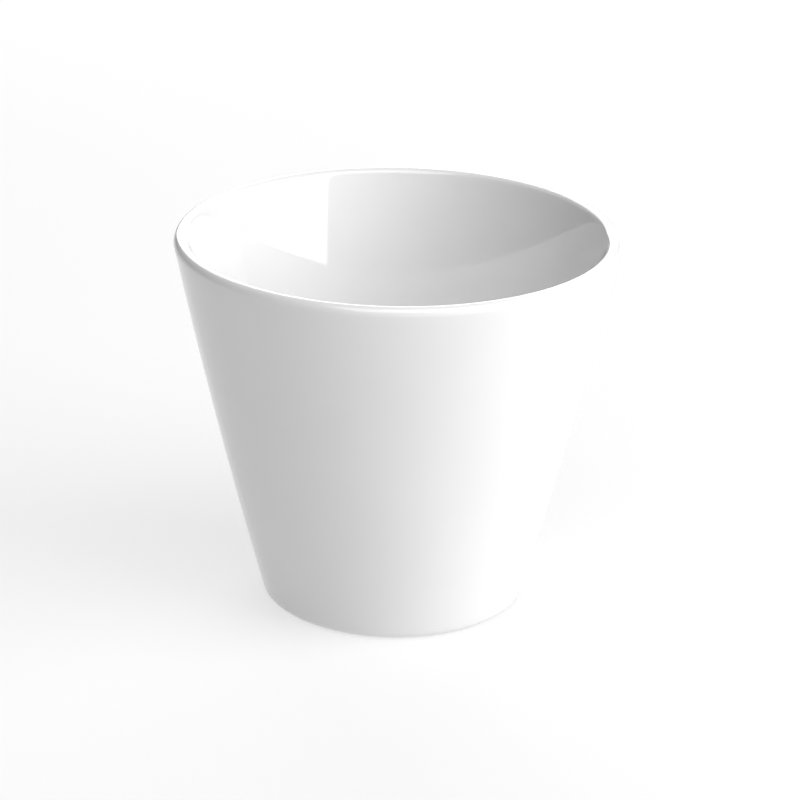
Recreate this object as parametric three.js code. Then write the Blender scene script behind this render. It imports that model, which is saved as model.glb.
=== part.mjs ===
// A tapered, handleless porcelain cup: one slip-cast body, fired and glazed in a single piece.
// Units are millimetres, +Z is up, and the origin is the centre of the foot ring's underside.
import * as THREE from "three";

// Outside
const rimDiameter = 85;
const height = 73.5;
const footDiameter = 50.5; // where the wall's line meets the table, before the edge is rounded
const wallBow = 0.65; // how far the wall bulges outside a straight cone at half height
const footEdgeRadius = 2.4;

// Inside: the wall is thin at the lip and thicker below it, so the cup keeps its drink warm
const lipThickness = 2.8;
const innerLeanAtLip = 23; // degrees from upright
const innerLeanAtFloor = 13; // degrees from upright, where the floor's rounded corner begins
const wallThicknessAtFloor = 6; // measured level, where the floor's rounded corner begins
const floorThickness = 5;
const innerCornerRadius = 10;

// Foot ring: the only part that touches the table
const footRingWidth = 2.8;
const footRecessDepth = 1.2;
const footRecessSlopeWidth = 2.0;

// Fineness of the mesh
const turns = 92; // flats round the cup
const curveSteps = 6; // steps along each wall, and half the steps along each arc

const rimRadius = rimDiameter / 2;
const footRadius = footDiameter / 2;

// The wall is a parabola: a straight cone from foot to rim plus the bow.
const flare = rimRadius - footRadius;
const tiltAtFoot = Math.atan((flare + 4 * wallBow) / height);
const tiltAtLip = Math.atan((flare - 4 * wallBow) / height);
const leanAtLip = THREE.MathUtils.degToRad(innerLeanAtLip);
const leanAtFloor = THREE.MathUtils.degToRad(innerLeanAtFloor);

// The lip is part of a circle that touches the outer wall, the rim's level and the inner wall.
const lipRadius = lipThickness / 2;
const lipCentre = new THREE.Vector2(rimRadius - lipRadius, height - lipRadius);

// The foot's outer edge is an arc that touches the table and the wall.
const footEdgeReach = footEdgeRadius * Math.tan((Math.PI / 2 - tiltAtFoot) / 2);
const footEdgeCentre = new THREE.Vector2(footRadius - footEdgeReach, footEdgeRadius);

// A point on a circle, at an angle below the horizontal; outwards is 1 or -1.
function besideCircle(centre, radius, angleBelow, outwards) {
  return new THREE.Vector2(
    centre.x + outwards * radius * Math.cos(angleBelow),
    centre.y - outwards * radius * Math.sin(angleBelow),
  );
}

// The point where the tangents at a parabola's two ends cross, halfway up.
function parabolaControl(start, end, tiltAtStart) {
  const halfRise = (end.y - start.y) / 2;
  return new THREE.Vector2(start.x + halfRise * Math.tan(tiltAtStart), start.y + halfRise);
}

// The outer wall's radius at a height.
function outerRadius(level) {
  const share = level / height;
  return footRadius + flare * share + 4 * wallBow * share * (1 - share);
}

// Half of the cup's cross section, from the axis under the floor, round the outside, to the axis inside.
function cupProfile() {
  const ringInnerEdge = footEdgeCentre.x - footRingWidth;
  const recessEdge = ringInnerEdge - footRecessSlopeWidth;
  const slopeMiddle = (ringInnerEdge + recessEdge) / 2;
  const outerFoot = besideCircle(footEdgeCentre, footEdgeRadius, tiltAtFoot, 1);
  const outerLip = besideCircle(lipCentre, lipRadius, tiltAtLip, 1);
  const outerControl = parabolaControl(outerFoot, outerLip, tiltAtFoot);

  // The inner wall leaves the lip at one lean and reaches the floor's corner at the other.
  const innerLip = besideCircle(lipCentre, lipRadius, -leanAtLip, -1);
  const floorTop = footRecessDepth + floorThickness;
  const cornerTopLevel = floorTop + innerCornerRadius * (1 - Math.sin(leanAtFloor));
  const cornerTop = new THREE.Vector2(outerRadius(cornerTopLevel) - wallThicknessAtFloor, cornerTopLevel);
  const cornerCentre = new THREE.Vector2(
    cornerTop.x - innerCornerRadius * Math.cos(leanAtFloor),
    floorTop + innerCornerRadius,
  );
  const third = (innerLip.y - cornerTop.y) / 3;
  const upper = new THREE.Vector2(innerLip.x - third * Math.tan(leanAtLip), innerLip.y - third);
  const lower = new THREE.Vector2(cornerTop.x + third * Math.tan(leanAtFloor), cornerTop.y + third);

  const path = new THREE.Path();
  path.moveTo(0, footRecessDepth);
  path.lineTo(recessEdge, footRecessDepth);
  path.bezierCurveTo(slopeMiddle, footRecessDepth, slopeMiddle, 0, ringInnerEdge, 0);
  path.absarc(footEdgeCentre.x, footEdgeCentre.y, footEdgeRadius, -Math.PI / 2, -tiltAtFoot);
  path.quadraticCurveTo(outerControl.x, outerControl.y, outerLip.x, outerLip.y);
  path.absarc(lipCentre.x, lipCentre.y, lipRadius, -tiltAtLip, Math.PI / 2);
  path.absarc(lipCentre.x, lipCentre.y, lipRadius, Math.PI / 2, Math.PI - leanAtLip);
  path.bezierCurveTo(upper.x, upper.y, lower.x, lower.y, cornerTop.x, cornerTop.y);
  path.absarc(cornerCentre.x, cornerCentre.y, innerCornerRadius, -leanAtFloor, -Math.PI / 2, true);
  path.lineTo(0, floorTop);
  return path.getPoints(curveSteps);
}

const glazedPorcelain = new THREE.MeshStandardMaterial({
  color: 0xf4f4f2,
  roughness: 0.12,
  metalness: 0,
});

// The outline is turned about Y, and the cup is then stood up along Z.
function makeCup() {
  const geometry = new THREE.LatheGeometry(cupProfile(), turns);
  geometry.rotateX(Math.PI / 2);
  const cup = new THREE.Mesh(geometry, glazedPorcelain);
  cup.name = "cup_body";
  return cup;
}

const cupModel = new THREE.Group();
cupModel.add(makeCup());

export default cupModel;
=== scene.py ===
import math
import bmesh
import bpy
from mathutils import Matrix, Vector


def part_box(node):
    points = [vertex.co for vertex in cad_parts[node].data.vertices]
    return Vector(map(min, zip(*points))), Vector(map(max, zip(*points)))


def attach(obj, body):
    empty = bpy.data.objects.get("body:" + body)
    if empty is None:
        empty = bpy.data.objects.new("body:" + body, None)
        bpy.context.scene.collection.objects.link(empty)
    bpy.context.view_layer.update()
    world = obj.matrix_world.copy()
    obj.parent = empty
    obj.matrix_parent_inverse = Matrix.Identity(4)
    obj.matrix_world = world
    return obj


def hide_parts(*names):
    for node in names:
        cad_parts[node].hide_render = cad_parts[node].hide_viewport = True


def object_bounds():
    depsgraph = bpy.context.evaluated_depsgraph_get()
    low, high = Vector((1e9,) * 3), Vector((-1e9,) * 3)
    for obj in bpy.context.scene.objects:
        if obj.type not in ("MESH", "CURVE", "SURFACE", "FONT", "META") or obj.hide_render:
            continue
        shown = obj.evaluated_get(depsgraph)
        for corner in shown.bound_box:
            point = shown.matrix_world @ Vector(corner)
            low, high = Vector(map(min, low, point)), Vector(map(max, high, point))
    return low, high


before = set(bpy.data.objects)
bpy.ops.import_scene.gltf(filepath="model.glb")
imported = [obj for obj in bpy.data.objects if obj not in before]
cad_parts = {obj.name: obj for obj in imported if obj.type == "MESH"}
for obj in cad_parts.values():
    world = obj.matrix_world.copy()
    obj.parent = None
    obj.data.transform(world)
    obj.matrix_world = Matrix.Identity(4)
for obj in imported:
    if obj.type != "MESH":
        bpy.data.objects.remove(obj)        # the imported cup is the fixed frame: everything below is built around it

cadLow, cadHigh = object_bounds()
mm = 0.001
print("frame loaded, CAD box in mm:", [round(size / mm, 2) for size in cadHigh - cadLow])


def hexToLinear(code):
    # colours are written as sRGB hex, the sockets want linear light
    channels = []
    for start in (0, 2, 4):
        value = int(code[start:start + 2], 16) / 255
        channels.append(value / 12.92 if value <= 0.04045 else ((value + 0.055) / 1.055) ** 2.4)
    return (*channels, 1.0)


def addNode(tree, kind, settings=None, inputs=None, links=None):
    # settings are the node's own options, inputs are socket values, links are socket: (node, output)
    node = tree.nodes.new(kind)
    for option, value in (settings or {}).items():
        setattr(node, option, value)
    for socket, value in (inputs or {}).items():
        node.inputs[socket].default_value = value
    for socket, (source, output) in (links or {}).items():
        tree.links.new(source.outputs[output], node.inputs[socket])
    return node


def newMaterial(name):
    material = bpy.data.materials.new(name)
    material.use_nodes = True
    material.node_tree.nodes.clear()
    return material, material.node_tree


def shadeOutput(tree, shader):
    addNode(tree, "ShaderNodeOutputMaterial", links={"Surface": (shader, "BSDF")})


glaze = {
    "paleColour": "e1e1e1",
    "deepColour": "dcdcdc",      # where the glaze lies thicker it looks a shade greyer
    "cloudSize": 22 * mm,        # patches of thicker and thinner glaze
    "cloudDetail": 2.0,
    "thinCloud": 0.3,            # the cloud noise between which the gloss goes from smooth to dull
    "thickCloud": 0.7,
    "smoothRoughness": 0.035,
    "dullRoughness": 0.075,
    "peelSize": 5 * mm,          # the long soft ripple that a poured glaze sets with
    "peelDepth": 0.004 * mm,
    "peelDetail": 1.0,
    "speckSpacing": 9 * mm,
    "speckSize": 0.28 * mm,
    "speckDepth": 0.03 * mm,
    "ior": 1.5,
}


def glazedPorcelain():
    # clear feldspathic glaze over slip-cast porcelain: a hard, sharp gloss on a bright, slightly soft white
    material, tree = newMaterial("glazedPorcelain")
    place = addNode(tree, "ShaderNodeTexCoord")
    clouds = addNode(tree, "ShaderNodeTexNoise",
                     inputs={"Scale": 1 / glaze["cloudSize"], "Detail": glaze["cloudDetail"]},
                     links={"Vector": (place, "Object")})
    colour = addNode(tree, "ShaderNodeMix", {"data_type": "RGBA"}, links={"Factor": (clouds, "Fac")})
    colour.inputs[6].default_value = hexToLinear(glaze["deepColour"])
    colour.inputs[7].default_value = hexToLinear(glaze["paleColour"])
    gloss = addNode(tree, "ShaderNodeMapRange",
                    inputs={"From Min": glaze["thinCloud"], "From Max": glaze["thickCloud"],
                            "To Min": glaze["smoothRoughness"], "To Max": glaze["dullRoughness"]},
                    links={"Value": (clouds, "Fac")})
    peel = addNode(tree, "ShaderNodeTexNoise",
                   inputs={"Scale": 1 / glaze["peelSize"], "Detail": glaze["peelDetail"]},
                   links={"Vector": (place, "Object")})
    ripple = addNode(tree, "ShaderNodeBump", inputs={"Strength": 1.0, "Distance": glaze["peelDepth"]},
                     links={"Height": (peel, "Fac")})
    # pinholes: gas that left the glaze in the kiln
    cells = addNode(tree, "ShaderNodeTexVoronoi", inputs={"Scale": 1 / glaze["speckSpacing"]},
                    links={"Vector": (place, "Object")})
    holes = addNode(tree, "ShaderNodeMapRange", {"interpolation_type": "SMOOTHSTEP"},
                    inputs={"From Min": 0.0, "From Max": glaze["speckSize"] / glaze["speckSpacing"]},
                    links={"Value": (cells, "Distance")})
    surface = addNode(tree, "ShaderNodeBump", inputs={"Strength": 1.0, "Distance": glaze["speckDepth"]},
                      links={"Height": (holes, "Result"), "Normal": (ripple, "Normal")})
    shader = addNode(tree, "ShaderNodeBsdfPrincipled", inputs={"IOR": glaze["ior"]},
                     links={"Roughness": (gloss, "Result"), "Normal": (surface, "Normal")})
    tree.links.new(colour.outputs[2], shader.inputs["Base Color"])
    shadeOutput(tree, shader)
    return material


bisque = {
    "clayColour": "e4e1da",
    "rubbedColour": "d3cfc7",    # handling and tables grey the bare clay
    "grainSize": 0.35 * mm,      # coarser than the clay's real grain, so that it shows
    "grainDepth": 0.03 * mm,
    "grainDetail": 2.0,
    "rubSize": 6 * mm,
    "rubDetail": 3.0,
    "roughness": 0.6,
    "ior": 1.5,
}


def barePorcelain():
    # vitrified porcelain wiped clean of glaze: matt, fine-grained and a touch warmer, so it reads as dry
    material, tree = newMaterial("barePorcelain")
    place = addNode(tree, "ShaderNodeTexCoord")
    rubbed = addNode(tree, "ShaderNodeTexNoise",
                     inputs={"Scale": 1 / bisque["rubSize"], "Detail": bisque["rubDetail"]},
                     links={"Vector": (place, "Object")})
    colour = addNode(tree, "ShaderNodeMix", {"data_type": "RGBA"}, links={"Factor": (rubbed, "Fac")})
    colour.inputs[6].default_value = hexToLinear(bisque["rubbedColour"])
    colour.inputs[7].default_value = hexToLinear(bisque["clayColour"])
    grain = addNode(tree, "ShaderNodeTexNoise",
                    inputs={"Scale": 1 / bisque["grainSize"], "Detail": bisque["grainDetail"]},
                    links={"Vector": (place, "Object")})
    surface = addNode(tree, "ShaderNodeBump", inputs={"Strength": 1.0, "Distance": bisque["grainDepth"]},
                      links={"Height": (grain, "Fac")})
    shader = addNode(tree, "ShaderNodeBsdfPrincipled",
                     inputs={"IOR": bisque["ior"], "Roughness": bisque["roughness"]},
                     links={"Normal": (surface, "Normal")})
    tree.links.new(colour.outputs[2], shader.inputs["Base Color"])
    shadeOutput(tree, shader)
    return material


cup = {
    "sides": 128,
    "footRadius": 25.25 * mm,     # where the wall's line would meet the table
    "wallBow": 0.65 * mm,
    "footEdgeRadius": 2.4 * mm,
    "lipThickness": 2.8 * mm,
    "innerLeanAtLip": 23.0,       # degrees from upright, easing off to the lean at the floor's corner
    "innerLeanAtFloor": 13.0,
    "wallAtFloor": 6.0 * mm,
    "floorThickness": 5.0 * mm,
    "innerCorner": 10.0 * mm,
    "ringWidth": 2.8 * mm,
    "recessDepth": 1.2 * mm,
    "recessSlope": 2.0 * mm,
    "middle": 0.6 * mm,           # the last small ring round the axis
    "bareBelow": 0.02 * mm,       # faces lower than this are the flat of the foot ring
    "capFacing": 0.99,            # how squarely a flat end looks up or down
    "footEdgeSteps": 7,
    "wallSteps": 12,
    "outerLipSteps": 9,
    "innerLipSteps": 7,
    "innerWallSteps": 14,
    "cornerSteps": 9,
    "recessSteps": 6,
    "floorRings": (0.75, 0.4, 0.15),    # shares of the flat floor's radius
    "recessRings": (0.8, 0.45, 0.15),   # shares of the flat recess's radius
}


def arc(centre, radius, start, end, steps):
    angles = [start + (end - start) * step / steps for step in range(1, steps + 1)]
    return [(centre[0] + radius * math.cos(a), centre[1] + radius * math.sin(a)) for a in angles]


def sweep(controls, steps):
    # a smooth curve from the first control point to the last
    points = []
    for step in range(1, steps + 1):
        line = [Vector(control) for control in controls]
        while len(line) > 1:
            line = [start.lerp(end, step / steps) for start, end in zip(line, line[1:])]
        points.append(tuple(line[0]))
    return points


def cupOutline():
    # rings as (radius, height), from the foot ring's outer edge up the wall, over the lip and down inside
    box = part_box("cup_body")
    rimRadius, height = box[1].x, box[1].z
    flare, bow = rimRadius - cup["footRadius"], 4 * cup["wallBow"]
    leanAtFoot, leanAtRim = math.atan((flare + bow) / height), math.atan((flare - bow) / height)
    edge = cup["footEdgeRadius"]
    edgeCentre = (cup["footRadius"] - edge * math.tan((math.pi / 2 - leanAtFoot) / 2), edge)
    lip = cup["lipThickness"] / 2
    lipCentre = (rimRadius - lip, height - lip)

    rings = [(edgeCentre[0], 0)]
    rings += arc(edgeCentre, edge, -math.pi / 2, -leanAtFoot, cup["footEdgeSteps"])
    start, end = rings[-1], arc(lipCentre, lip, 0, -leanAtRim, 1)[0]
    halfRise = (end[1] - start[1]) / 2
    crossing = (start[0] + halfRise * math.tan(leanAtFoot), start[1] + halfRise)
    rings += sweep([start, crossing, end], cup["wallSteps"])

    innerLeanAtLip = math.radians(cup["innerLeanAtLip"])
    innerLeanAtFloor = math.radians(cup["innerLeanAtFloor"])
    rings += arc(lipCentre, lip, -leanAtRim, math.pi / 2, cup["outerLipSteps"])
    rings += arc(lipCentre, lip, math.pi / 2, math.pi - innerLeanAtLip, cup["innerLipSteps"])

    corner = cup["innerCorner"]
    floorTop = cup["recessDepth"] + cup["floorThickness"]
    cornerTop = floorTop + corner * (1 - math.sin(innerLeanAtFloor))
    share = cornerTop / height
    outside = cup["footRadius"] + flare * share + bow * share * (1 - share)
    start, end = rings[-1], (outside - cup["wallAtFloor"], cornerTop)
    third = (start[1] - end[1]) / 3
    upper = (start[0] - third * math.tan(innerLeanAtLip), start[1] - third)
    lower = (end[0] + third * math.tan(innerLeanAtFloor), end[1] + third)
    rings += sweep([start, upper, lower, end], cup["innerWallSteps"])
    cornerCentre = (end[0] - corner * math.cos(innerLeanAtFloor), floorTop + corner)
    rings += arc(cornerCentre, corner, -innerLeanAtFloor, -math.pi / 2, cup["cornerSteps"])
    rings += [(cornerCentre[0] * part, floorTop) for part in cup["floorRings"]]
    rings += [(cup["middle"], floorTop)]
    return rings


def footOutline(ringEdge):
    # the underside: across the flat foot ring, up the slope of the recess and in to the middle
    inner = ringEdge - cup["ringWidth"]
    rings = [(ringEdge - cup["ringWidth"] / 2, 0), (inner, 0)]
    for step in range(1, cup["recessSteps"] + 1):
        share = step / cup["recessSteps"]
        rise = cup["recessDepth"] * share * share * (3 - 2 * share)
        rings.append((inner - cup["recessSlope"] * share, rise))
    edge = rings[-1][0]
    rings += [(edge * part, cup["recessDepth"]) for part in cup["recessRings"]]
    rings += [(cup["middle"], cup["recessDepth"])]
    return rings


def selectCap(piece, downward):
    # the flat end of the piece that looks up or down
    mesh = bmesh.from_edit_mesh(piece.data)
    bpy.ops.mesh.select_all(action="DESELECT")
    for face in mesh.faces:
        upright = -face.normal.z if downward else face.normal.z
        face.select_set(upright > cup["capFacing"] and len(face.verts) > 4)
    bmesh.update_edit_mesh(piece.data)


def drawOut(start, rings):
    # extrudes the selected cap from ring to ring
    radius, height = start
    for nextRadius, nextHeight in rings:
        bpy.ops.mesh.extrude_region_move(TRANSFORM_OT_translate={"value": (0, 0, nextHeight - height)})
        scale = nextRadius / radius
        bpy.ops.transform.resize(value=(scale, scale, 1), center_override=(0, 0, nextHeight))
        radius, height = nextRadius, nextHeight


def makeCup():
    outline = cupOutline()
    first, second = outline[0], outline[1]
    bpy.ops.object.select_all(action="DESELECT")
    bpy.ops.mesh.primitive_cone_add(vertices=cup["sides"], radius1=first[0], radius2=second[0],
                                    depth=second[1] - first[1], end_fill_type="NGON",
                                    location=(0, 0, (first[1] + second[1]) / 2))
    piece = bpy.context.active_object
    piece.name = "porcelain_cup"
    bpy.ops.object.transform_apply(location=True, rotation=True, scale=True)

    bpy.ops.object.mode_set(mode="EDIT")
    selectCap(piece, downward=False)
    drawOut(second, outline[2:])
    selectCap(piece, downward=True)
    drawOut(first, footOutline(first[0]))
    bpy.ops.object.mode_set(mode="OBJECT")

    smooth = piece.modifiers.new("smooth", "SUBSURF")
    smooth.levels = smooth.render_levels = 1
    bpy.ops.object.modifier_apply(modifier="smooth")
    bpy.ops.object.shade_smooth()

    piece.data.materials.append(glazedPorcelain())
    piece.data.materials.append(barePorcelain())
    for face in piece.data.polygons:
        face.material_index = 1 if face.center.z < cup["bareBelow"] else 0
    return piece


cupPiece = makeCup()
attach(cupPiece, "root")
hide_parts("cup_body")
print("cup made:", len(cupPiece.data.polygons), "faces")


studio = {
    "tableSize": 6.0,
    "tableColour": "959595",
    "tableRoughness": 0.9,
    "tableSpecular": 0.1,
    "tableGlow": 0.62,           # light from below, through the table, keeps the shadow faint
    "backdropColour": "fcfcfc",
}

# azimuth is counted from the camera's side, to the right; sizes and distances in metres, power in watts
softboxes = {
    "keyRight": {"azimuth": 72, "elevation": 24, "roll": 15, "distance": 1.0,
                 "width": 0.9, "height": 0.8, "power": 11.5},
    "aboveFront": {"azimuth": 10, "elevation": 60, "roll": 0, "distance": 1.0,
                   "width": 1.0, "height": 0.8, "power": 8.0},
    "behind": {"azimuth": 180, "elevation": 25, "roll": 0, "distance": 0.9,
               "width": 0.8, "height": 0.6, "power": 5.5},
}


def makeTable():
    bpy.ops.object.select_all(action="DESELECT")
    bpy.ops.mesh.primitive_plane_add(size=studio["tableSize"], location=(0, 0, 0))
    table = bpy.context.active_object
    table.name = "table"
    # frosted opal acrylic over a light panel: an even, matt, pale ground that glows a little
    material, tree = newMaterial("opalAcrylic")
    shader = addNode(tree, "ShaderNodeBsdfPrincipled",
                     inputs={"Base Color": hexToLinear(studio["tableColour"]),
                             "Roughness": studio["tableRoughness"],
                             "Specular IOR Level": studio["tableSpecular"],
                             "Emission Color": hexToLinear("ffffff"),
                             "Emission Strength": studio["tableGlow"]})
    shadeOutput(tree, shader)
    table.data.materials.append(material)


def makeSoftbox(name, box):
    turn, rise = math.radians(box["azimuth"]), math.radians(box["elevation"])
    towards = Vector((math.sin(turn) * math.cos(rise), -math.cos(turn) * math.cos(rise), math.sin(rise)))
    aim = Vector((0, 0, cadHigh.z / 2))
    light = bpy.data.lights.new(name, "AREA")
    light.shape = "RECTANGLE"
    light.size, light.size_y = box["width"], box["height"]
    light.energy = box["power"]
    lamp = bpy.data.objects.new(name, light)
    lamp.matrix_world = (Matrix.Translation(aim + towards * box["distance"])
                         @ towards.to_track_quat("Z", "Y").to_matrix().to_4x4()
                         @ Matrix.Rotation(math.radians(box["roll"]), 4, "Z"))
    bpy.context.scene.collection.objects.link(lamp)


def makeBackdrop():
    # the room is dark around the lights, and only the camera sees the pale backdrop
    world = bpy.data.worlds.new("paleBackdrop")
    world.use_nodes = True
    tree = world.node_tree
    tree.nodes.clear()
    rays = addNode(tree, "ShaderNodeLightPath")
    background = addNode(tree, "ShaderNodeBackground",
                         inputs={"Color": hexToLinear(studio["backdropColour"])},
                         links={"Strength": (rays, "Is Camera Ray")})
    addNode(tree, "ShaderNodeOutputWorld", links={"Surface": (background, "Background")})
    bpy.context.scene.world = world


view = {
    "distance": 637.5 * mm,
    "elevation": 21.6,
    "roll": 0.87,                # the camera leans a little
    "lens": 148.0,               # focal length and sensor width in millimetres
    "sensor": 36.0,
    "right": 0.96 * mm,          # how far it stands beside the cup's axis, and above its middle
    "up": 2.41 * mm,
    "nearest": 0.01,             # what it can see, in metres
    "farthest": 20.0,
}


def makeCamera():
    rise, lean = math.radians(view["elevation"]), math.radians(view["roll"])
    back = Vector((0, -math.cos(rise), math.sin(rise)))
    turn = back.to_track_quat("Z", "Y").to_matrix() @ Matrix.Rotation(lean, 3, "Z")
    place = Vector((0, 0, cadHigh.z / 2)) + back * view["distance"]
    place += turn @ Vector((view["right"], view["up"], 0))
    data = bpy.data.cameras.new("camera")
    data.lens, data.sensor_width = view["lens"], view["sensor"]
    data.clip_start, data.clip_end = view["nearest"], view["farthest"]
    camera = bpy.data.objects.new("camera", data)
    camera.matrix_world = Matrix.Translation(place) @ turn.to_4x4()
    bpy.context.scene.collection.objects.link(camera)
    bpy.context.scene.camera = camera


makeTable()
for boxName, box in softboxes.items():
    makeSoftbox(boxName, box)
makeBackdrop()
makeCamera()
bpy.context.scene.view_settings.view_transform = "Standard"
print("table, light and camera set")
